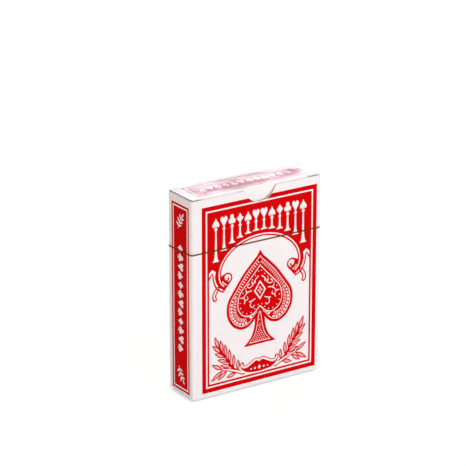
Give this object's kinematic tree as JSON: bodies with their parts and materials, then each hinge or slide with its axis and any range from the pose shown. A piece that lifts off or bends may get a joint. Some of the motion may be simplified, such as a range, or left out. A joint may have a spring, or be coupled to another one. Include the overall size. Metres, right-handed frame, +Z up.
{
  "type": "playing card deck",
  "caption": "Sealed deck of playing cards in a printed tuck carton with a hinged lid, tuck tongue, dust flaps and thumb notch, wrapped in clear film with a tear tape.",
  "frame": {"origin": "middle of the underside of the wrapped box", "axes": "+X to the right of the front, the front faces -Y, +Z up"},
  "size_m": [0.0668, 0.0188, 0.0922],
  "materials": {
    "coated_board": "satin",
    "card_stock": "satin",
    "clear_film": "polished",
    "gold_tape": "gloss",
    "red_ink": "satin"
  },
  "bodies": {
    "sleeve": {"film_sleeve": "clear_film", "film_base": "clear_film"},
    "carton": {"front_panel": "coated_board", "back_panel": "coated_board", "left_side_panel": "coated_board", "right_side_panel": "coated_board", "side_glue_flap": "coated_board", "bottom_panel": "coated_board", "bottom_inner_flap": "coated_board", "bottom_dust_flap_left": "coated_board", "bottom_dust_flap_right": "coated_board"},
    "lid": {"lid_panel": "coated_board"},
    "tongue": {"tuck_tongue": "coated_board"},
    "left_flap": {"dust_flap_left": "coated_board"},
    "right_flap": {"dust_flap_right": "coated_board"},
    "deck": {"spade_cards": "card_stock", "heart_cards": "card_stock", "club_cards": "card_stock", "diamond_cards": "card_stock", "joker_cards": "card_stock"},
    "cap": {"film_cap": "clear_film"},
    "tape": {"tear_tape": "gold_tape"}
  },
  "joints": [
    {"name": "carton_slide", "type": "slide", "parent": "sleeve", "child": "carton", "axis": [0, 0, 1], "range_m": [0, 0.06]},
    {"name": "lid_hinge", "type": "hinge", "parent": "carton", "child": "lid", "pos_m": [0, 0.0089, 0.0915], "axis": [-1, 0, 0], "range_deg": [0, 165]},
    {"name": "tongue_crease", "type": "hinge", "parent": "lid", "child": "tongue", "pos_m": [0, -0.00815, 0.0913], "axis": [1, 0, 0], "range_deg": [0, 66]},
    {"name": "left_flap_crease", "type": "hinge", "parent": "carton", "child": "left_flap", "pos_m": [-0.0329, 0, 0.09085], "axis": [0, -1, 0], "range_deg": [0, 89.1]},
    {"name": "right_flap_crease", "type": "hinge", "parent": "carton", "child": "right_flap", "pos_m": [0.0329, 0, 0.09085], "axis": [0, 1, 0], "range_deg": [0, 89.1]},
    {"name": "cap_lift", "type": "slide", "parent": "carton", "child": "cap", "axis": [0, 0, 1], "range_m": [0, 0.1102]},
    {"name": "tape_lift", "type": "slide", "parent": "carton", "child": "tape", "axis": [0, 0, 1], "range_m": [0, 0.0981]},
    {"name": "deck_shift", "type": "slide", "parent": "carton", "child": "deck", "axis": [0, 0, 1], "range_m": [0, 0.0008]}
  ],
  "couplings": [
    {"joint": "tongue_crease", "follows": "lid_hinge", "ratio": 0.4},
    {"joint": "left_flap_crease", "follows": "lid_hinge", "ratio": 0.54},
    {"joint": "right_flap_crease", "follows": "lid_hinge", "ratio": 0.54},
    {"joint": "cap_lift", "follows": "lid_hinge", "m_per_rad": 0.0382},
    {"joint": "tape_lift", "follows": "lid_hinge", "m_per_rad": 0.034}
  ]
}
